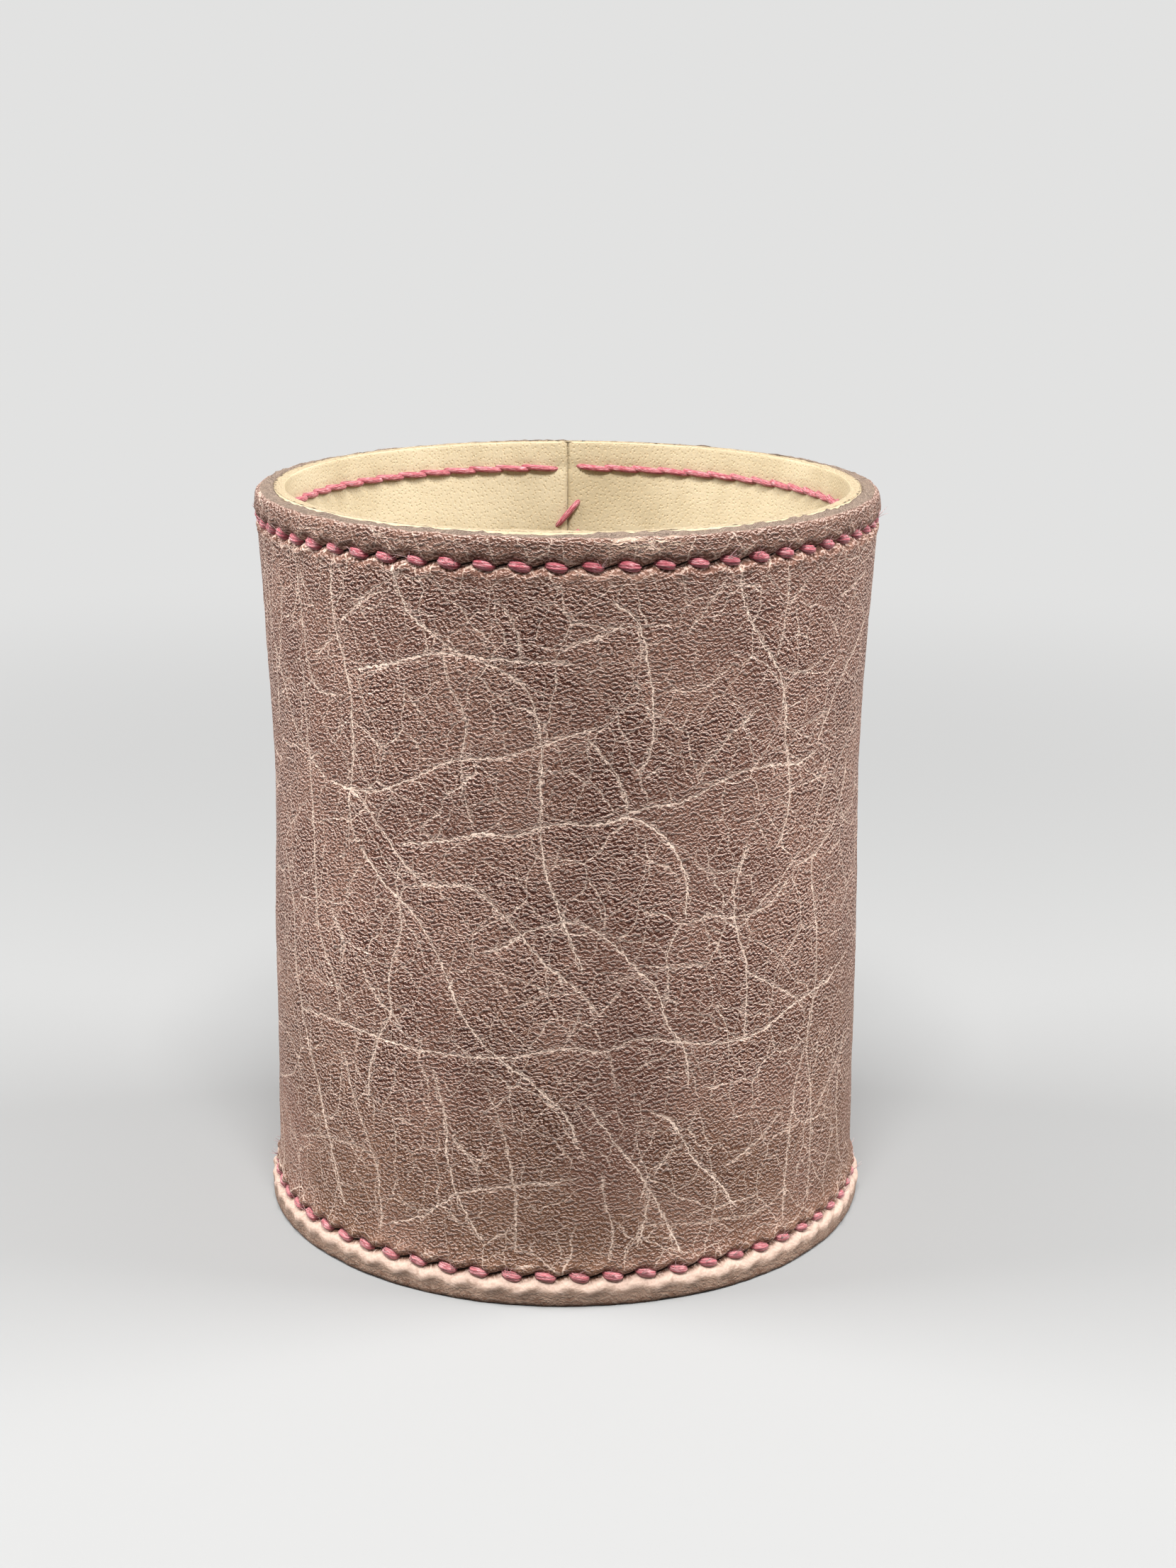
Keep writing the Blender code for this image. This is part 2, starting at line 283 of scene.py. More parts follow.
def stitch_relief(angle, z):
    """How the stitches pull grooves into the leather and make it swell on both sides of them."""
    cell = cell_of(angle, z)
    hole = 0.5 + 0.5 * np.cos(math.tau * cell)
    uneven = 1.0 + 0.3 * noise(cell, z * 0.1, 11)
    depth = GROOVE_BEAD + (GROOVE_SLIT - GROOVE_BEAD) * hole ** 2
    width = GROOVE_WIDTH - GROOVE_NARROWING * hole ** 1.5
    relief = 0.0
    for row, outward, swell in ((BOTTOM_ROW, -1.0, BOTTOM_SWELL), (TOP_ROW, 1.0, TOP_SWELL)):
        away = z - row - zigzag(cell)
        relief = relief - depth * bump(away, 0.0, width)
        relief = relief + uneven * swelling(swell, hole) * bump(away * outward, 1.2, 0.75)
        relief = relief + uneven * swelling(INNER_SWELL, hole) * bump(away * outward, -1.0, 0.55)
    return relief


def swelling(swell, hole):
    height, share = swell
    return height * (share + (1.0 - share) * hole)


def add_mesh(name, points, faces, finishes, face_finish, fields):
    """Makes an object from points in millimetres, with its finishes and the fields that they read."""
    mesh = bpy.data.meshes.new(name)
    mesh.from_pydata((np.asarray(points) * MM).tolist(), [], faces)
    for finish in finishes:
        mesh.materials.append(finish)
    if face_finish is not None:
        mesh.polygons.foreach_set("material_index", np.asarray(face_finish, dtype=np.int32))
    for label, values in fields.items():
        layer = mesh.attributes.new(label, "FLOAT_VECTOR", "POINT")
        layer.data.foreach_set("vector", np.asarray(values, dtype=np.float32).ravel())
    mesh.validate()
    mesh.shade_smooth()
    piece = bpy.data.objects.new(name, mesh)
    bpy.context.scene.collection.objects.link(piece)
    return piece


def loop_faces(rows, columns):
    """Quads of a strip whose section is a closed loop of rows, with both its ends capped."""
    faces = []
    for row in range(rows):
        here, after = row * columns, (row + 1) % rows * columns
        for column in range(columns - 1):
            faces.append((here + column, here + column + 1, after + column + 1, after + column))
    first = tuple(row * columns for row in range(rows))
    last = tuple(row * columns + columns - 1 for row in reversed(range(rows)))
    return faces + [first, last]


def face_finishes(kinds, columns, cut_kinds, cap):
    """Finish 1 for faces beside a row of a cut kind, 0 for others, then both caps' finish."""
    finishes = []
    for pair in zip(kinds, kinds[1:] + kinds[:1]):
        finishes += [int(any(kind in cut_kinds for kind in pair))] * (columns - 1)
    return finishes + [cap, cap]


# The outer leather

RIM_BAND = 6.7
RIM_STEP = 0.3


def leather_rows():
    """The section of the strip: outer face, top edge, back and bottom edge, as (z, inset, kind)."""
    foot, lip = BOTTOM_CORNER, TOP_CORNER
    outer = list(np.arange(foot, RIM_BAND, RIM_STEP))
    outer += list(np.linspace(RIM_BAND + 0.2, HEIGHT - RIM_BAND, 126))
    outer += list(np.arange(HEIGHT - RIM_BAND + RIM_STEP, HEIGHT - TOP_CHAMFER - lip - 0.1, RIM_STEP))
    rows = [(foot * (1 - math.sin(a)), foot * (1 - math.cos(a)), "edge") for a in np.radians((90, 60, 30))]
    rows += [(z, 0.0, "face") for z in outer]
    rows += [(HEIGHT - TOP_CHAMFER - lip * (1 - math.sin(a)), lip * (1 - math.cos(a)), "edge")
             for a in np.radians((0, 20, 40, 60, 80))]
    rows += [(HEIGHT - TOP_CHAMFER * (1 - share), lip + (LEATHER - lip) * share, "cut")
             for share in np.linspace(0.0, 1.0, 8)]
    rows += [(z, LEATHER, "back") for z in np.linspace(HEIGHT, 0.0, 14)[1:]]
    rows += [(0.0, inset, "cut") for inset in np.linspace(LEATHER, foot, 6)[1:-1]]
    return rows


def along_section(rows):
    """How far each row lies along the leather's section, so that the grain keeps its size at the edges."""
    place, reach = 0.0, []
    for index, (z, inset, _) in enumerate(rows):
        if index:
            place += math.hypot(z - rows[index - 1][0], inset - rows[index - 1][1])
        reach.append(place)
    start = next(index for index, row in enumerate(rows) if row[2] == "face")
    return np.array(reach) - reach[start] + rows[start][0]


def leather_surface(angle, z, inset, kind):
    """The radius and height of one row's points."""
    if kind == "back":
        return wall_radius(z) - inset, z
    way = (angle - math.pi) * STRIP_RADIUS
    undulation = 0.07 * noise(way / 9.0, z / 12.0, 3, 2) + 0.035 * noise(way / 2.6, z / 1.9, 5, 2)
    share = 1.0 - inset / LEATHER
    radius = wall_radius(z) - inset + share * (undulation + stitch_relief(angle, z))
    radius = radius - seam_draw(angle) * share
    if kind == "cut":
        z = z + 0.16 * noise(way / 0.9, inset / 0.6, 21, 2) - 0.08
        z = z + 0.15 * noise(way / 6.0, inset / 3.0, 22)
    elif kind == "edge":
        z = z + 0.09 * noise(way / 1.3, z / 2.0, 23, 2) * (inset > 0)
    return radius, np.maximum(z, 0.0)


def seam_edges(angle, kind):
    """The two cut ends touch at the back of the layer, and stand a little apart at its face."""
    gap = 0.5 * (SEAM_GAP if kind in ("face", "edge") else SEAM_TOUCH) / STRIP_RADIUS
    angle = angle.copy()
    angle[0], angle[-1] = gap, math.tau - gap
    return angle


def crease_path(points, step=0.5):
    """Places along a smooth curve through the points."""
    points = np.array(points, dtype=float)
    along = np.concatenate(([0.0], np.cumsum(np.hypot(*np.diff(points, axis=0).T))))
    slopes = np.gradient(points, along, axis=0)
    places = np.linspace(0.0, along[-1], round(along[-1] / step) + 2)
    first = np.clip(np.searchsorted(along, places, side="right") - 1, 0, len(points) - 2)
    run = (along[first + 1] - along[first])[:, None]
    t = (places - along[first])[:, None] / run
    bend = (t ** 3 - 2 * t ** 2 + t) * slopes[first] + (t ** 3 - t ** 2) * slopes[first + 1]
    share = 3 * t ** 2 - 2 * t ** 3
    return (1 - share) * points[first] + share * points[first + 1] + run * bend


def crease_distance(path, places):
    """For each place: its distance to the path, less than zero on the right, and its distance to an end."""
    run = np.diff(path, axis=0)
    length = np.hypot(run[:, 0], run[:, 1])
    offset = places[:, None] - path[None, :-1]
    share = np.clip((offset * run).sum(axis=-1) / length ** 2, 0.0, 1.0)
    apart = np.linalg.norm(offset - share[..., None] * run, axis=-1)
    nearest = apart.argmin(axis=1)
    here = (np.arange(len(places)), nearest)
    side = run[nearest, 0] * offset[here][:, 1] - run[nearest, 1] * offset[here][:, 0]
    along = np.concatenate(([0.0], np.cumsum(length)))
    reached = along[nearest] + share[here] * length[nearest]
    return np.where(side < 0, -1.0, 1.0) * apart[here], np.minimum(reached, along[-1] - reached)


def hidden_creases():
    """Creases in the same manner for the sides and the back, which the photograph doesn't show."""
    random = np.random.default_rng(41)
    creases = []
    for index in range(HIDDEN_CREASES):
        side = -1.0 if index % 2 else 1.0
        share = (index + random.uniform(0.0, 2.0)) / HIDDEN_CREASES
        way = side * (HIDDEN_FROM + (HIDDEN_TO - HIDDEN_FROM) * share)
        heading = math.radians(random.choice(HIDDEN_HEADINGS) + random.uniform(-8.0, 8.0))
        points = [np.array((way, random.uniform(6.0, 88.0)))]
        for _ in range(random.integers(3, 9)):
            heading += math.radians(random.uniform(-24.0, 24.0))
            further = points[-1] + 4.5 * np.array((math.cos(heading), math.sin(heading)))
            if not HIDDEN_FROM - 2.0 < abs(further[0]) < HIDDEN_TO + 1.0:
                break
            points.append(further)
        if len(points) > 2:
            creases.append((random.uniform(0.4, 1.0), *points))
    return creases


def crease_layers(way, z):
    """The creases as fields of (distance, strength, zero). Creases that touch lie in different layers."""
    layers = np.zeros((CREASE_LAYERS,) + way.shape + (3,))
    layers[..., 0] = CREASE_REACH
    places = np.stack([way, z], axis=-1)
    for strength, *points in list(CREASES) + hidden_creases():
        path = crease_path(points)
        low, high = path.min(axis=0) - CREASE_REACH, path.max(axis=0) + CREASE_REACH
        near = ((places > low) & (places < high)).all(axis=-1)
        distance, from_end = crease_distance(path, places[near])
        shown = strength ** CREASE_CONTRAST * ease(2.0 - 2.0 * np.abs(distance) / CREASE_REACH)
        shown = shown * ease(from_end / CREASE_TAPER)
        seen = shown > 0.0
        for layer in layers:
            here = layer[near]
            if not here[seen, 1].any():
                here[seen, 0] = distance[seen]
                here[seen, 1] = shown[seen]
                layer[near] = here
                break
    return layers


def crease_relief(layers):
    """A shallow furrow along each crease."""
    return sum(-FURROW_DEPTH * layer[..., 1] * bump(layer[..., 0], 0.0, FURROW_WIDTH) for layer in layers)


def stitch_field(angle, z):
    """For the looks: the count of the hole, and the height above the nearer stitch line."""
    cell = cell_of(angle, z)
    row = BOTTOM_ROW if z < HEIGHT / 2 else TOP_ROW
    return np.stack([cell, z - row - zigzag(cell), 0.0 * cell], axis=-1)


def build_leather(finishes):
    cells = np.array([hole - 0.5 + part for hole in range(HOLES) for part in CELL_COLUMNS] + [HOLES - 0.5])
    columns = len(cells)
    rows = leather_rows()
    angles = np.array([seam_edges(np.clip(angle_of(cells, z), 0.0, math.tau), kind) for z, _, kind in rows])
    way = (angles - math.pi) * STRIP_RADIUS
    flat_z = np.tile(np.array([z for z, _, _ in rows])[:, None], (1, columns))
    reach = np.tile(along_section(rows)[:, None], (1, columns))
    layers = crease_layers(way, flat_z)
    points = []
    for angle, furrow, (z, inset, kind) in zip(angles, crease_relief(layers), rows):
        radius, height = leather_surface(angle, z, inset, kind)
        clear = ease((z - BOTTOM_ROW - 1.0) / 2.0) * ease((TOP_ROW - 1.0 - z) / 2.0)
        if kind == "face":
            radius = radius + furrow * clear
        points.append(around(angle, radius, height))
    stitch = [stitch_field(angle, z) for angle, (z, _, _) in zip(angles, rows)]
    face_finish = face_finishes([kind for _, _, kind in rows], columns, ("cut", "back"), 1)
    faces = loop_faces(len(rows), columns)
    fields = {"strip": np.stack([way, reach, flat_z], axis=-1), "stitch": stitch}
    fields.update((f"crease_{index}", layer) for index, layer in enumerate(layers))
    return add_mesh("leather_shell", np.concatenate(points), faces, finishes, face_finish, fields)


# The liner

LINER_BACK = LEATHER + 0.02
LINER_CORNER = 0.15
LINER_BEVEL = 0.04


def liner_rows():
    """The section of the strip: back, top edge, inner face and bottom edge, as (z, inset, kind)."""
    rows = [(z, LINER_BACK, "back") for z in np.linspace(0.0, HEIGHT, 16)]
    rows += [(HEIGHT, inset, "cut") for inset in np.linspace(LINER_BACK, WALL - LINER_CORNER, 6)[1:]]
    rows += [(HEIGHT - LINER_BEVEL, WALL - LINER_BEVEL, "face"), (HEIGHT - LINER_CORNER, WALL, "face")]
    for high, low, count in ((HEIGHT - 0.5, HEIGHT - 7.0, 18), (HEIGHT - 8.0, 8.0, 70), (7.0, 0.5, 18)):
        rows += [(z, WALL, "face") for z in np.linspace(high, low, count)]
    rows += [(LINER_CORNER, WALL, "face"), (LINER_BEVEL, WALL - LINER_BEVEL, "face")]
    rows += [(0.0, inset, "cut") for inset in np.linspace(WALL - LINER_CORNER, LINER_BACK, 6)[:-1]]
    return rows


def liner_surface(angle, way, z, inset, kind):
    """The radius and height of one row's points."""
    radius, height = wall_radius(z) - inset, z + 0.0 * angle
    if kind == "cut":
        height = height + 0.07 * noise(way / 0.8, inset / 0.5, 61, 2)
        height = height + 0.08 * noise(way / 6.0, 0.0, 62)
        height = np.clip(height, 0.0, HEIGHT + 0.2)
    elif kind == "face":
        hole = 0.5 + 0.5 * np.cos(math.tau * cell_of(angle, z))
        pull = LINER_PULL * (bump(z, TOP_ROW, 0.8) + bump(z, BOTTOM_ROW, 0.8)) * (0.5 + 0.5 * hole)
        radius = radius + pull + 0.05 * noise(way / 5.0, z / 6.0, 63, 3)
        radius = radius + 0.3 * bump(np.minimum(angle, math.tau - angle) * STRIP_RADIUS, 0.0, 0.6)
    return radius, height


def build_liner(finishes):
    columns = HOLES * 6 + 1
    rows = liner_rows()
    points, strip = [], []
    for z, inset, kind in rows:
        angle = seam_edges(np.linspace(0.0, math.tau, columns), kind)
        way = (angle - math.pi) * STRIP_RADIUS
        points.append(around(angle, *liner_surface(angle, way, z, inset, kind)))
        strip.append(np.stack([way, z + inset + 0.0 * way, inset + 0.0 * way], axis=-1))
    face_finish = face_finishes([kind for _, _, kind in rows], columns, ("cut",), 0)
    faces = loop_faces(len(rows), columns)
    fields = {"strip": np.concatenate(strip)}
    return add_mesh("liner_sleeve", np.concatenate(points), faces, finishes, face_finish, fields)


# The thread

THREAD_SIDES = 27
THREAD_LOBES = 8
LOBE_SKIP = 3
LOBE_SHARE = 0.62
LOBE_DEPTH = 0.10
TWIST = 0.30
STRAY_SIDES = 4
STRAY_MARK = 3.0
STRAY_RADIUS = 0.045
BEAD_RINGS = 16
INSIDE_RINGS = 7


class Thread:
    """Collects tubes of thread and stray fibres, and makes one mesh of them."""

    def __init__(self):
        self.points, self.faces, self.fibre = [], [], []

    def tube(self, path, radii, twist, sides=THREAD_SIDES, lobes=THREAD_LOBES, depth=LOBE_DEPTH):
        along = np.gradient(path, axis=0)
        along /= np.linalg.norm(along, axis=1)[:, None]
        up = np.array([0.0, 0.0, 1.0])
        turns = math.tau * np.arange(sides) / sides
        first, travelled = len(self.points), 0.0
        for index in range(len(path)):
            up = up - along[index] * up.dot(along[index])
            up /= np.linalg.norm(up)
            side = np.cross(along[index], up)
            twisted_turns = turns + twist[index]
            lobe = np.cos(lobes * twisted_turns)
            if lobes > LOBE_SKIP:
                finer = np.cos((lobes - LOBE_SKIP) * twisted_turns + first)
                lobe = LOBE_SHARE * lobe + (1.0 - LOBE_SHARE) * finer
            radius = radii[index] * (1.0 - 0.5 * depth + depth * lobe)
            spokes = np.cos(turns)[:, None] * up + np.sin(turns)[:, None] * side
            if index:
                travelled += np.linalg.norm(path[index] - path[index - 1])
            self.points += list(path[index] + radius[:, None] * spokes)
            if sides == STRAY_SIDES:
                lobe = lobe + STRAY_MARK
            self.fibre += [(value, travelled, turn) for value, turn in zip(lobe, turns)]
        for ring in range(len(path) - 1):
            here, after = first + ring * sides, first + (ring + 1) * sides
            self.faces += [(here + turn, after + turn, after + (turn + 1) % sides, here + (turn + 1) % sides)
                           for turn in range(sides)]
        self.faces.append(tuple(range(first, first + sides)))
        self.faces.append(tuple(reversed(range(first + (len(path) - 1) * sides, first + len(path) * sides))))

    def stray(self, start, lean, length, random):
        """One thin fibre that has come loose at a stitch hole."""
        share = np.linspace(0.0, 1.0, 5)
        bend = random.uniform(-0.25, 0.25, 3)
        path = start + length * share[:, None] * lean + length * (share ** 2)[:, None] * bend
        self.tube(path, STRAY_RADIUS * (1.0 - 0.7 * share), 0.0 * share, STRAY_SIDES, 1, 0.0)

    def finish(self, name, finish):
        return add_mesh(name, self.points, self.faces, (finish,), None, {"fibre": self.fibre})


def rising(share, part):
    """From 0 at both ends of a run to 1, within so large a part of it."""
    return ease(np.minimum(share, 1.0 - share) / part)


def swelled(share, radius, power):
    return BEAD_END_RADIUS + (radius - BEAD_END_RADIUS) * np.sin(math.pi * share) ** power


def bead(start, end, random):
    """One outside stitch between two (cell, height) ports: it comes up, swells and dives again."""
    share = np.linspace(0.0, 1.0, BEAD_RINGS)
    size = random.uniform(0.84, 1.06) * (1.0 if start[1] > HEIGHT / 2 else BOTTOM_BEAD_SIZE)
    cell = start[0] + share * (end[0] - start[0]) + random.uniform(-0.02, 0.02) * np.sin(math.pi * share)
    z = start[1] + share * (end[1] - start[1]) + random.uniform(-0.07, 0.07) * np.sin(math.pi * share)
    rise = rising(share, random.uniform(0.2, 0.27))
    angle = angle_of(cell, z)
    face = wall_radius(z) - seam_draw(angle)
    centre = face - BEAD_DIP + rise * (BEAD_DIP - GROOVE_BEAD + BEAD_SEAT * BEAD_RADIUS)
    radii = swelled(share, BEAD_RADIUS * size, 0.62)
    return around(angle, centre, z), radii


def stray_fibres(thread, path, random):
    """A little fan of loose fibres by one end of most beads."""
    if random.uniform() < 0.22:
        return
    upper = path[3] if random.uniform() < 0.7 else path[-4]
    outward = path[3] * (1, 1, 0) / np.linalg.norm(path[3] * (1, 1, 0))
    left = np.array([-outward[1], outward[0], 0.0]) * (1 if upper is path[3] else -1)
    for _ in range(random.integers(2, 6)):
        lean = (-left * random.uniform(-0.2, 1.0) + outward * random.uniform(0.15, 0.6)
                + np.array([0, 0, 1.0]) * random.uniform(0.1, 0.9))
        thread.stray(upper + outward * 0.35, lean / np.linalg.norm(lean), random.uniform(0.7, 1.8), random)


def inside_run(start, end):
    """One stitch on the liner's face."""
    share = np.linspace(0.0, 1.0, INSIDE_RINGS)
    cell = start[0] + share * (end[0] - start[0])
    z = start[1] + share * (end[1] - start[1])
    rise = rising(share, 0.25)
    centre = wall_radius(z) - WALL + INSIDE_DIP - rise * (INSIDE_DIP + INSIDE_RISE)
    radii = swelled(share, INSIDE_RADIUS, 0.7)
    return around(angle_of(cell, z), centre, z), radii


def port(index, row, upper):
    """Where the thread passes a slit, high or low in it, as (cell, height)."""
    sign = 1.0 if upper else -1.0
    return index + sign * SLIT_SHARE * PORT_SHARE, row + sign * ZIGZAG * PORT_SHARE


def strand(first, row, random):
    runs, hole = [], first
    while hole + 1 < HOLES:
        runs.append(bead(port(hole, row, True), port(hole + 1, row, False), random))
        if hole + 2 < HOLES:
            runs.append(inside_run(port(hole + 1, row, False), port(hole + 2, row, True)))
        hole += 2
    return runs


def reverse(run):
    return run[0][::-1], run[1][::-1]


def saddle_stitching(name, row, finish, seed):
    """One length of thread: its middle is in the first slit, and both its ends sew to the last."""
    random = np.random.default_rng(seed)
    opening = inside_run(port(0, row, False), port(1, row, True))
    one_way = [opening] + strand(1, row, random)
    other_way = strand(0, row, random)
    runs = [reverse(run) for run in reversed(one_way)] + other_way
    thread = Thread()
    twisted(thread, runs)
    for run in one_way[1::2] + other_way[0::2]:
        stray_fibres(thread, run[0], random)
    return thread.finish(name, finish)


def twisted(thread, runs):
    """Joins the runs into one twisted length."""
    path = np.concatenate([run[0] for run in runs])
    radii = np.concatenate([run[1] for run in runs])
    steps = np.linalg.norm(np.diff(path, axis=0), axis=1)
    travelled = np.concatenate([[0.0], np.cumsum(steps)])
    thread.tube(path, radii, travelled * TWIST)


def lace_bar(left, right, z, random):
    """One stitch across the back seam, outside."""
    share = np.linspace(0.0, 1.0, BEAD_RINGS)
    angle = left + share * (right - left)
    height = z + random.uniform(-0.12, 0.12) + random.uniform(-0.15, 0.15) * (share - 0.5)
    rise = rising(share, 0.2)
    centre = wall_radius(z) - SEAM_DRAW - LACE_DIP + rise * (LACE_DIP + 0.6 * LACE_RADIUS)
    radii = swelled(share, LACE_RADIUS * 1.1, 0.6)
    return around(angle, centre, height), radii


def lace_slant(left, right, low, high):
    """One stitch inside, up to the next bar."""
    share = np.linspace(0.0, 1.0, INSIDE_RINGS)
    rise = rising(share, 0.2)
    z = low + share * (high - low)
    centre = wall_radius(z) - WALL + INSIDE_DIP - rise * (INSIDE_DIP + INSIDE_RISE)
    radii = swelled(share, INSIDE_RADIUS, 0.6)
    return around(right + share * (left - right), centre, z), radii


def seam_lacing(name, finish):
    random = np.random.default_rng(91)
    low, high = BOTTOM_ROW + LACE_MARGIN, TOP_ROW - LACE_MARGIN
    heights = np.linspace(low, high, round((high - low) / LACE_PITCH) + 1)
    left, right = -0.5 * STEP, 0.5 * STEP
    runs = []
    for index, z in enumerate(heights):
        runs.append(lace_bar(left, right, z, random))
        if index + 1 < len(heights):
            runs.append(lace_slant(left, right, z, heights[index + 1]))
    thread = Thread()
    twisted(thread, runs)
    return thread.finish(name, finish)


# Materials

class Finish:
    """A node material that is put together one step at a time."""

    def __init__(self, name):
        self.material = bpy.data.materials.new(name)
        self.material.use_nodes = True
        self.tree = self.material.node_tree
        self.shader = self.tree.nodes["Principled BSDF"]

    def feed(self, socket, value):
        if isinstance(value, bpy.types.NodeSocket):
            self.tree.links.new(value, socket)
        else:
            socket.default_value = value

    def node(self, kind, **settings):
        made = self.tree.nodes.new(kind)
        for key, value in settings.items():
            setattr(made, key, value)
        return made

    def fix(self, made, **values):
        for label, value in values.items():
            made.inputs[label.replace("_", " ")].default_value = value

    def math(self, operation, first, second=0.0):
        made = self.node("ShaderNodeMath", operation=operation)
        self.feed(made.inputs[0], first)
        self.feed(made.inputs[1], second)
        return made.outputs[0]

    def plus(self, first, second):
        return self.math("ADD", first, second)

    def minus(self, first, second):
        return self.math("SUBTRACT", first, second)

    def times(self, first, second):
        return self.math("MULTIPLY", first, second)

    def larger(self, first, second):
        return self.math("MAXIMUM", first, second)

    def positive(self, value):
        return self.math("ABSOLUTE", value)

    def vector(self, operation, first, second):
        made = self.node("ShaderNodeVectorMath", operation=operation)
        self.feed(made.inputs[0], first)
        self.feed(made.inputs[1], second)
        return made.outputs[0]

    def attribute(self, name):
        made = self.node("ShaderNodeAttribute", attribute_name=name)
        return made.outputs["Vector"]

    def parts(self, vector):
        made = self.node("ShaderNodeSeparateXYZ")
        self.feed(made.inputs[0], vector)
        return made.outputs[0], made.outputs[1], made.outputs[2]

    def placed(self, vector, turn=0.0, scale=(1, 1, 1)):
        made = self.node("ShaderNodeMapping", vector_type="TEXTURE")
        self.feed(made.inputs["Vector"], vector)
        self.fix(made, Rotation=(0, 0, turn), Scale=[1.0 / size for size in scale])
        return made.outputs[0]

    def noise(self, vector, scale, detail=2.0, roughness=0.5, distortion=0.0, space="2D", output="Fac"):
        made = self.node("ShaderNodeTexNoise", noise_dimensions=space)
        self.feed(made.inputs["Vector"], vector)
        self.fix(made, Scale=scale, Detail=detail, Roughness=roughness, Distortion=distortion)
        return made.outputs[output]

    def voronoi(self, vector, scale, feature="F1", smoothness=0.5):
        made = self.node("ShaderNodeTexVoronoi", feature=feature, voronoi_dimensions="2D")
        self.feed(made.inputs["Vector"], vector)
        self.fix(made, Scale=scale)
        if feature == "SMOOTH_F1":
            self.fix(made, Smoothness=smoothness)
        return made.outputs["Distance"]

    def ranged(self, value, low, high, start=0.0, end=1.0, smooth=True):
        made = self.node("ShaderNodeMapRange", interpolation_type="SMOOTHSTEP" if smooth else "LINEAR")
        self.feed(made.inputs["Value"], value)
        self.fix(made, From_Min=low, From_Max=high, To_Min=start, To_Max=end)
        return made.outputs["Result"]

    def blend(self, share, first, second):
        made = self.node("ShaderNodeMix", data_type="RGBA")
        self.feed(made.inputs[0], share)
        for index, colour in ((6, first), (7, second)):
            linked = isinstance(colour, bpy.types.NodeSocket)
            self.feed(made.inputs[index], colour if linked else (*colour, 1.0))
        return made.outputs[2]

    def relief(self, height, distance):
        made = self.node("ShaderNodeBump")
        self.feed(made.inputs["Height"], height)
        self.fix(made, Distance=distance * MM, Strength=1.0)
        self.tree.links.new(made.outputs["Normal"], self.shader.inputs["Normal"])

    def surface(self, colour, roughness, **fixed):
        self.feed(self.shader.inputs["Base Color"], colour)
        self.feed(self.shader.inputs["Roughness"], roughness)
        self.fix(self.shader, **fixed)
        return self.material


def tone(red, green, blue):
    """A colour as a screen shows it, from 0 to 255, turned into the light that Blender counts in."""
    shares = [channel / 255.0 for channel in (red, green, blue)]
    return tuple(s / 12.92 if s <= 0.04045 else ((s + 0.055) / 1.055) ** 2.4 for s in shares)


# Colours of the finishes
LEATHER_DARK, LEATHER_LIGHT, LEATHER_LOW_TINT = tone(126, 91, 77), tone(149, 113, 97), tone(124, 92, 71)
GRAIN_PAINTED_SHADE, GRAIN_PAINTED_HIGHLIGHT, CREASE_PALE = tone(48, 16, 5), tone(243, 213, 200), tone(246, 220, 201)
HEM_MIDDLE, HEM_PALE_AND_PAINTED_HIGHLIGHT, HEM_FOOT_PAINTED_SHADE = tone(148, 123, 107), tone(191, 166, 151), tone(108, 82, 68)
HEM_PAINTED_SHADE, HEM_PAINTED_HIGHLIGHT = tone(104, 76, 60), tone(220, 195, 176)
RIM_BAND_DARK, WRINKLE_PALE, LIP_PAINTED_HIGHLIGHT = tone(84, 62, 52), tone(218, 192, 170), tone(140, 118, 106)
SLIT_PAINTED_SHADE = tone(36, 26, 23)
CUT_DARK, CUT_LIGHT, CUT_BROAD = tone(92, 74, 62), tone(170, 150, 134), tone(150, 128, 110)
LINER_DARK, LINER_LIGHT = tone(172, 157, 128), tone(192, 178, 150)
LINER_PORE, LINER_FINE = tone(188, 164, 124), tone(204, 182, 142)
LINER_CUT_DARK, LINER_CUT_LIGHT = tone(140, 124, 98), tone(176, 160, 132)
LINER_CUT_RAGGED, LINER_CUT_NICK = tone(128, 106, 82), tone(62, 50, 38)
THREAD_PLY_SHADE, THREAD_BASE, THREAD_STREAK_SHADE = tone(104, 24, 36), tone(186, 84, 96), tone(100, 16, 32)
THREAD_PAINTED_GLINT, THREAD_FUZZ, THREAD_LOW_PALE = tone(226, 172, 174), tone(236, 200, 198), tone(226, 178, 172)

# The grain's rows rise to the right, and each pebble gets painted light and shade as if it were lit from
# above: a painted highlight on its upper edge and painted shade below it.
GRAIN_RISE = math.radians(17)
GRAIN_LIT_FROM = (0.03, 0.15, 0.0)


def crease_lines(f, wiggle, twin_wiggle):
    """Thin light lines along the drawn creases, each with a weaker twin and a soft border."""
    total = 0.0
    for index in range(CREASE_LAYERS):
        distance, strength, _ = f.parts(f.attribute(f"crease_{index}"))
        main = f.positive(f.plus(distance, wiggle))
        twin = f.positive(f.plus(distance, twin_wiggle))
        twin_line = f.ranged(twin, 0.03, 0.095, 0.70, 0.0)
        line = f.larger(f.ranged(main, 0.050, 0.130, 1.0, 0.0), twin_line)
        line = f.larger(line, f.ranged(main, 0.10, 0.55, 0.07, 0.0))
        total = f.larger(total, f.times(line, strength))
    return total


def wandering(f, place, scale, reach):
    """Smooth sideways wander of so many millimetres, both ways."""
    return f.times(f.minus(f.noise(place, scale), 0.5), 2.0 * reach)


def warped(f, place, scale, reach, detail=2.0):
    """The place, moved by smooth noise of so many millimetres."""
    moved = f.vector("SUBTRACT", f.noise(place, scale, detail, output="Color"), (0.5, 0.5, 0.5))
    return f.vector("ADD", place, f.vector("MULTIPLY", moved, (2.0 * reach, 2.0 * reach, 0.0)))


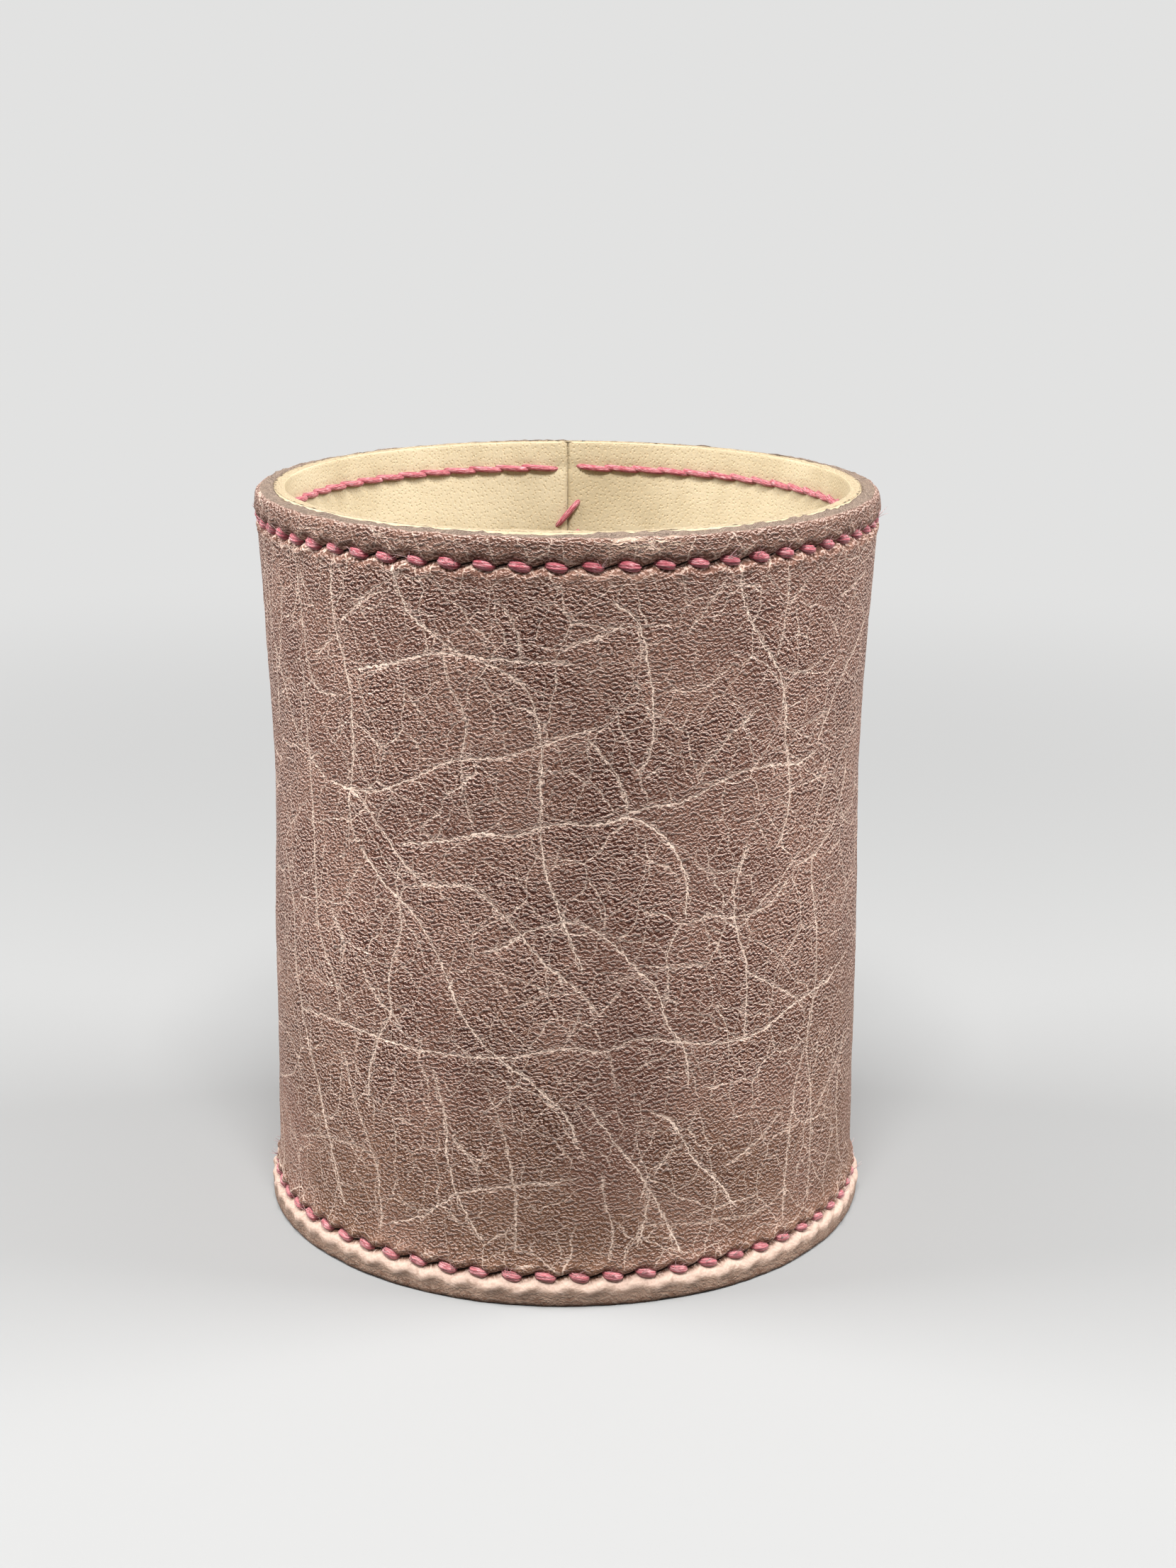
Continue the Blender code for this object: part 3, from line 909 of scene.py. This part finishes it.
def web_line(f, place, turn, scale, width, strength):
    """Straight-sided cracks between cells, in the places where a slow noise lets them show."""
    edge = f.voronoi(f.placed(place, turn=turn, scale=(scale, scale * 0.8, 1.0)), 1.0, "DISTANCE_TO_EDGE")
    shown = f.ranged(f.noise(place, scale * 0.8, 1.0), 0.32, 0.50)
    return f.times(f.ranged(edge, 0.25 * width * scale, width * scale, strength, 0.0), shown)


def leather_grain(f, place):
    """Short pebbles in wavy rows."""
    ripple = f.noise(f.placed(place, GRAIN_RISE, (2.6, 2.9, 1.0)), 1.0, 1.0)
    pebble = f.voronoi(f.placed(place, GRAIN_RISE, (1.5, 2.05, 1.0)), 1.0, "SMOOTH_F1", 0.15)
    return f.plus(f.times(ripple, 0.6), f.ranged(pebble, 0.08, 0.72, 0.29, 0.11, smooth=False))


def grain_strength(f, strip, z, away):
    """The grain is weaker in slow patches, low down and beside the stitches."""
    strength = f.ranged(f.noise(strip, 0.11), 0.35, 0.65, 0.82, 1.0)
    strength = f.times(strength, f.ranged(z, 4.0, 30.0, 0.68, 1.0))
    return f.times(strength, f.ranged(f.positive(away), 0.6, 2.4, 0.60, 1.0))


def crease_pattern(f, strip, painted_light_slope):
    """The drawn creases and a web of finer cracks, weaker in places."""
    fret = wandering(f, strip, 1.7, 0.30)
    wiggle = f.plus(wandering(f, strip, 0.30, 0.34), fret)
    twin_wiggle = f.plus(wandering(f, strip, 0.36, 1.1), fret)
    broken = f.ranged(f.noise(strip, 0.10), 0.36, 0.54, 0.76, 1.0)
    dashed = f.ranged(f.noise(strip, 1.1, 1.0), 0.32, 0.50, 0.74, 1.0)
    bent = warped(f, warped(f, strip, 0.25, 0.9, 1.0), 1.5, 0.24, 1.0)
    web = f.larger(web_line(f, bent, 0.35, 0.14, 0.13, 0.52), web_line(f, bent, -0.5, 0.29, 0.10, 0.42))
    main = f.times(crease_lines(f, wiggle, twin_wiggle), f.times(broken, dashed))
    crease = f.larger(main, f.times(web, dashed))
    # The creases take painted shade where the grain slopes away from the light.
    return f.times(crease, f.ranged(painted_light_slope, -0.10, 0.04, 0.86, 1.0))


def leather_base(f, strip, z):
    """The brown under the grain, in slow patches, turning darker and yellower in patches that grow towards
    the hem.
    """
    base = f.blend(f.ranged(f.noise(strip, 0.075), 0.32, 0.68), LEATHER_DARK, LEATHER_LIGHT)
    low_tint = f.times(f.ranged(z, 52.0, 6.0), f.ranged(f.noise(strip, 0.05), 0.3, 0.6))
    return f.blend(f.times(low_tint, 0.75), base, LEATHER_LOW_TINT)


def hem_colour(f, strip, away, painted_grain_shade, painted_grain_highlight):
    """Pale just below the bottom row, with a ragged border, and darker at the foot. The pale is partly the
    hem's own colour and partly a painted highlight where the flared hem faces up to the light; the darker
    foot is painted shade.
    """
    puff = f.noise(f.placed(strip, scale=(1.0, 1.6, 1.0)), 0.9, 3.0, 0.6)
    reach = f.plus(away, f.times(f.minus(puff, 0.5), 2.2))
    colour = f.blend(f.ranged(reach, -2.0, -0.8), HEM_MIDDLE, HEM_PALE_AND_PAINTED_HIGHLIGHT)
    colour = f.blend(f.ranged(reach, -3.4, -2.1, 1.0, 0.0), colour, HEM_FOOT_PAINTED_SHADE)
    # Painted grain shade and painted highlights, weaker on the hem.
    colour = f.blend(f.times(painted_grain_shade, 0.35), colour, HEM_PAINTED_SHADE)
    return f.blend(f.times(painted_grain_highlight, 0.35), colour, HEM_PAINTED_HIGHLIGHT)


def rim_wrinkles(f, strip, z):
    """Pale streaks along the rim, where it is creased by pulling, a little right of the front's middle."""
    way, _, _ = f.parts(strip)
    near = f.ranged(f.positive(f.minus(way, RIM_WRINKLE_WAY)), 1.5, RIM_WRINKLE_REACH, 1.0, 0.0)
    high = f.ranged(z, HEIGHT - 2.0, HEIGHT - 1.0)
    streak = f.noise(f.placed(strip, turn=0.06, scale=(0.30, 3.6, 1.0)), 1.0, 2.0, 0.6)
    return f.times(f.times(near, high), f.ranged(streak, 0.47, 0.58, 0.0, 0.75))


def stitch_slit_shade(f, z, cell, away):
    """Painted shade in the slits between the stitches of both rows."""
    part = f.positive(f.minus(f.math("FRACT", cell), 0.5))
    thin = f.ranged(f.positive(away), 0.03, 0.12, 1.0, 0.0)
    slit = f.times(f.ranged(part, 0.47 - SLIT_SHARE, 0.53 - SLIT_SHARE), thin)
    return f.times(slit, f.larger(f.ranged(z, 6.5, 6.0), f.ranged(z, HEIGHT - 6.5, HEIGHT - 6.0)))


def leather_finish():
    """Grain and creases in colour and relief, with the hem, the rim and the slits over them."""
    f = Finish("brown_pebbled_leather")
    _, _, z = f.parts(f.attribute("strip"))
    strip = f.vector("MULTIPLY", f.attribute("strip"), (1.0, 1.0, 0.0))
    cell, away, _ = f.parts(f.attribute("stitch"))
    flow = warped(f, warped(f, strip, 0.12, 0.55), 0.9, 0.12, 1.0)
    grain = leather_grain(f, flow)
    # How each pebble slopes towards the light from above, which places the painted shade and painted
    # highlights.
    painted_light_slope = f.minus(grain, leather_grain(f, f.vector("SUBTRACT", flow, GRAIN_LIT_FROM)))
    strength = grain_strength(f, strip, z, away)
    painted_grain_shade = f.times(f.ranged(painted_light_slope, -0.090, 0.0, 1.0, 0.0), strength)
    painted_grain_highlight = f.times(f.ranged(painted_light_slope, 0.015, 0.105), strength)
    crease = crease_pattern(f, strip, painted_light_slope)
    below = f.times(f.ranged(z, 5.2, 4.4), f.ranged(away, -0.15, -0.6))
    lip = f.ranged(z, HEIGHT - TOP_CHAMFER - 0.22, HEIGHT - TOP_CHAMFER - 0.04)
    slit = stitch_slit_shade(f, z, cell, away)

    # Painted shade under each pebble, then a painted highlight on its upper edge.
    colour = f.blend(painted_grain_shade, leather_base(f, strip, z), GRAIN_PAINTED_SHADE)
    colour = f.blend(f.times(painted_grain_highlight, 0.86), colour, GRAIN_PAINTED_HIGHLIGHT)
    colour = f.blend(f.times(crease, 0.97), colour, CREASE_PALE)
    colour = f.blend(below, colour, hem_colour(f, strip, away, painted_grain_shade, painted_grain_highlight))
    # The band above the top row is darker.
    colour = f.blend(f.ranged(z, TOP_ROW + 0.2, TOP_ROW + 1.4, 0.0, 0.34), colour, RIM_BAND_DARK)
    colour = f.blend(rim_wrinkles(f, strip, z), colour, WRINKLE_PALE)
    # Painted highlight: a paler line along the rounded top corner, where it catches the overhead light.
    colour = f.blend(f.times(lip, 0.35), colour, LIP_PAINTED_HIGHLIGHT)
    # Painted shade in the stitch slits.
    colour = f.blend(slit, colour, SLIT_PAINTED_SHADE)

    height = f.times(grain, f.minus(f.plus(strength, 0.1), f.times(below, 0.45)))
    height = f.minus(height, f.times(slit, 0.7))
    height = f.times(height, f.minus(1.0, f.times(crease, 0.8)))
    ridge = f.times(crease, f.minus(0.24, f.times(below, 0.20)))
    f.relief(f.plus(height, ridge), 0.8)
    return f.surface(colour, f.minus(0.62, f.times(painted_grain_highlight, 0.12)), Specular_IOR_Level=0.10)


def cut_leather_finish():
    f = Finish("raw_cut_leather_edge")
    strip = f.attribute("strip")
    fibre = f.noise(f.placed(strip, turn=0.5, scale=(1.6, 3.4, 1.0)), 1.4, 5.0, 0.7, 1.2)
    colour = f.blend(f.ranged(fibre, 0.3, 0.7), CUT_DARK, CUT_LIGHT)
    colour = f.blend(f.ranged(f.noise(strip, 0.35), 0.45, 0.7, 0.0, 0.4), colour, CUT_BROAD)
    f.relief(fibre, 0.45)
    return f.surface(colour, 0.85, Specular_IOR_Level=0.25)


def liner_finish():
    f = Finish("pale_liner_leather")
    strip = f.attribute("strip")
    broad = f.noise(strip, 0.06, 3.0, 0.6)
    pores = f.voronoi(strip, 1.5)
    fine = f.noise(strip, 2.6, 4.0, 0.65)
    colour = f.blend(f.ranged(broad, 0.3, 0.7), LINER_DARK, LINER_LIGHT)
    colour = f.blend(f.ranged(pores, 0.0, 0.28, 0.5, 0.0), colour, LINER_PORE)
    colour = f.blend(f.ranged(fine, 0.35, 0.65, 0.25, 0.0), colour, LINER_FINE)
    f.relief(f.plus(f.times(fine, 0.6), f.ranged(pores, 0.0, 0.3, 0.0, 0.5)), 0.10)
    return f.surface(colour, 0.72, Specular_IOR_Level=0.3)


def liner_cut_finish():
    """Short fibres, ragged beside the outer leather, with dark nicks between the two layers."""
    f = Finish("pale_liner_cut_edge")
    strip = f.attribute("strip")
    _, _, inset = f.parts(strip)
    fibre = f.noise(f.placed(strip, scale=(1.0, 2.5, 1.0)), 2.2, 4.0, 0.7, 0.6)
    specks = f.noise(f.placed(strip, turn=0.5, scale=(1.0, 1.6, 1.0)), 2.4, 3.0, 0.7, 1.0)
    outer = f.ranged(inset, LEATHER + 0.45, LEATHER)
    ragged = f.ranged(f.plus(specks, f.times(outer, 0.22)), 0.66, 0.72, 0.0, 0.85)
    nick = f.noise(f.placed(strip, turn=-0.6, scale=(0.9, 0.5, 1.0)), 1.0, 2.0, 0.6)
    nick = f.times(f.ranged(nick, 0.58, 0.63), f.ranged(inset, LEATHER + 0.42, LEATHER + 0.22))
    colour = f.blend(f.ranged(fibre, 0.3, 0.7), LINER_CUT_DARK, LINER_CUT_LIGHT)
    colour = f.blend(ragged, colour, LINER_CUT_RAGGED)
    colour = f.blend(f.times(nick, 0.85), colour, LINER_CUT_NICK)
    f.relief(fibre, 0.15)
    return f.surface(colour, 0.85, Specular_IOR_Level=0.2)


def thread_finish():
    """Plies with painted shade in their valleys, and long streaks of painted glint and painted shade. A
    stray fibre has a lobe above 1.
    """
    f = Finish("waxed_crimson_thread")
    lobe, length, turn = f.parts(f.attribute("fibre"))
    across = f.node("ShaderNodeCombineXYZ")
    f.feed(across.inputs[0], f.times(length, 0.8))
    f.feed(across.inputs[1], f.times(f.math("SINE", turn), 3.2))
    f.feed(across.inputs[2], f.times(f.math("COSINE", turn), 3.2))
    streak = f.noise(across.outputs[0], 1.6, 4.0, 0.65, space="3D")
    # Painted shade in the valleys between the plies, then streaks of painted glint and painted shade.
    colour = f.blend(f.ranged(lobe, -0.9, 0.8), THREAD_PLY_SHADE, THREAD_BASE)
    colour = f.blend(f.ranged(streak, 0.47, 0.66, 0.0, 0.9), colour, THREAD_PAINTED_GLINT)
    colour = f.blend(f.ranged(streak, 0.28, 0.42, 0.5, 0.0), colour, THREAD_STREAK_SHADE)
    colour = f.blend(f.ranged(lobe, 1.2, 1.8, 0.0, 0.8), colour, THREAD_FUZZ)
    # The thread is a little paler towards the bottom.
    _, _, z = f.parts(f.node("ShaderNodeTexCoord").outputs["Object"])
    colour = f.blend(f.ranged(z, 30.0 * MM, 8.0 * MM, 0.0, 0.11), colour, THREAD_LOW_PALE)
    f.relief(streak, 0.12)
    return f.surface(colour, 0.48, Specular_IOR_Level=0.36, Sheen_Weight=0.12, Sheen_Roughness=0.4)


def floor_finish():
    """Pale to the camera and in reflections, darker for the light it sends back, and even far away."""
    f = Finish("pale_floor")
    ray = f.node("ShaderNodeLightPath")
    seen = f.larger(ray.outputs["Is Camera Ray"], ray.outputs["Is Glossy Ray"])
    seen = f.larger(seen, ray.outputs["Is Transmission Ray"])
    reach = f.node("ShaderNodeVectorMath", operation="LENGTH")
    f.feed(reach.inputs[0], f.node("ShaderNodeTexCoord").outputs["Object"])
    far = f.times(seen, f.ranged(reach.outputs["Value"], *FLOOR_FADE))
    f.surface(f.blend(seen, FLOOR_BOUNCE, FLOOR_COLOUR), 0.9)
    glow = f.node("ShaderNodeEmission")
    f.fix(glow, Color=(*HORIZON_COLOUR, 1.0))
    mixed = f.node("ShaderNodeMixShader")
    f.feed(mixed.inputs[0], far)
    f.tree.links.new(f.shader.outputs[0], mixed.inputs[1])
    f.tree.links.new(glow.outputs[0], mixed.inputs[2])
    f.tree.links.new(mixed.outputs[0], f.tree.nodes["Material Output"].inputs["Surface"])
    return f.material


# Stage, lights and camera

CAMERA_BACK = 315.8
CAMERA_HEIGHT = 141.6
CAMERA_PITCH = math.radians(15.38)
CAMERA_YAW = math.radians(0.486)
CAMERA_ROLL = math.radians(0.322)
CAMERA_LENS = 59.46
CAMERA_SENSOR = 36.0
PHOTO_LONG_SIDE = 2212
OPTICAL_RISE_PX = 13.25

FLOOR_COLOUR = (0.262, 0.262, 0.260)
FLOOR_BOUNCE = (0.10, 0.10, 0.10)
FLOOR_FADE = (0.07, 0.42)
HORIZON_COLOUR = (0.76, 0.76, 0.755)
WORLD_LIGHT = 0.24
FLOOR_SIDES = 96
FLOOR_RADIUS = 60.0

# Each lamp's name, its place and size in metres, and its power
LAMPS = (
    ("overhead_softbox", (0.0, -0.31, 0.60), (0.22, 0.14), 5.7),
    ("left_softbox", (-0.40, 0.0, 0.40), (0.25, 0.35), 4.0),
    ("right_softbox", (0.40, 0.0, 0.40), (0.25, 0.35), 3.9),
)
LAMP_TARGET = (0.0, 0.0, 0.05)


def add_camera():
    data = bpy.data.cameras.new("camera")
    data.lens = CAMERA_LENS
    data.sensor_width = CAMERA_SENSOR
    data.shift_y = -OPTICAL_RISE_PX / PHOTO_LONG_SIDE
    data.clip_start, data.clip_end = 0.01, 20.0
    camera = bpy.data.objects.new("camera", data)
    bpy.context.scene.collection.objects.link(camera)
    turn = (Matrix.Rotation(-CAMERA_YAW, 4, "Z") @ Matrix.Rotation(math.pi / 2 - CAMERA_PITCH, 4, "X")
            @ Matrix.Rotation(CAMERA_ROLL, 4, "Z"))
    camera.matrix_world = Matrix.Translation((0.0, -CAMERA_BACK * MM, CAMERA_HEIGHT * MM)) @ turn
    bpy.context.scene.camera = camera


def add_floor():
    """A wide round floor, which fades into the horizon."""
    turns = [math.tau * side / FLOOR_SIDES for side in range(FLOOR_SIDES)]
    points = [(FLOOR_RADIUS * math.cos(turn), FLOOR_RADIUS * math.sin(turn), 0.0) for turn in turns]
    mesh = bpy.data.meshes.new("floor")
    mesh.from_pydata(points, [], [tuple(range(FLOOR_SIDES))])
    mesh.materials.append(floor_finish())
    floor = bpy.data.objects.new("floor", mesh)
    bpy.context.scene.collection.objects.link(floor)


def add_lamp(name, place, size, power):
    data = bpy.data.lights.new(name, "AREA")
    data.shape = "RECTANGLE"
    data.size, data.size_y = size
    data.energy = power
    light = bpy.data.objects.new(name, data)
    bpy.context.scene.collection.objects.link(light)
    light.location = place
    light.rotation_euler = (Vector(LAMP_TARGET) - Vector(place)).to_track_quat("-Z", "Y").to_euler()


def add_world():
    """A dim white light all round, which the camera and reflections see as the pale horizon."""
    world = bpy.data.worlds.new("studio")
    world.use_nodes = True
    nodes, links = world.node_tree.nodes, world.node_tree.links
    seen = nodes.new("ShaderNodeBackground")
    seen.inputs["Color"].default_value = (*HORIZON_COLOUR, 1.0)
    light = nodes["Background"]
    light.inputs["Color"].default_value = (1.0, 1.0, 1.0, 1.0)
    light.inputs["Strength"].default_value = WORLD_LIGHT
    ray = nodes.new("ShaderNodeLightPath")
    shown = ray.outputs["Is Camera Ray"]
    for kind in ("Is Glossy Ray", "Is Transmission Ray"):
        either = nodes.new("ShaderNodeMath")
        either.operation = "MAXIMUM"
        links.new(shown, either.inputs[0])
        links.new(ray.outputs[kind], either.inputs[1])
        shown = either.outputs[0]
    mixed = nodes.new("ShaderNodeMixShader")
    links.new(shown, mixed.inputs[0])
    links.new(light.outputs[0], mixed.inputs[1])
    links.new(seen.outputs[0], mixed.inputs[2])
    links.new(mixed.outputs[0], nodes["World Output"].inputs["Surface"])
    bpy.context.scene.world = world


# The whole

def place(piece, node, slot):
    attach(piece, "root")
    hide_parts(node)


def build():
    thread = thread_finish()
    place(build_leather((leather_finish(), cut_leather_finish())), "outer_leather", "outer_leather")
    place(build_liner((liner_finish(), liner_cut_finish())), "liner", "liner")
    place(saddle_stitching("top_stitch_thread", TOP_ROW, thread, 71), "top_stitching", "thread")
    place(saddle_stitching("bottom_stitch_thread", BOTTOM_ROW, thread, 72), "bottom_stitching", "thread")
    place(seam_lacing("seam_lacing_thread", thread), "seam_stitching", "thread")
    add_floor()
    for lamp in LAMPS:
        add_lamp(*lamp)
    add_world()
    add_camera()
    bpy.context.scene.view_settings.view_transform = "Standard"


build()
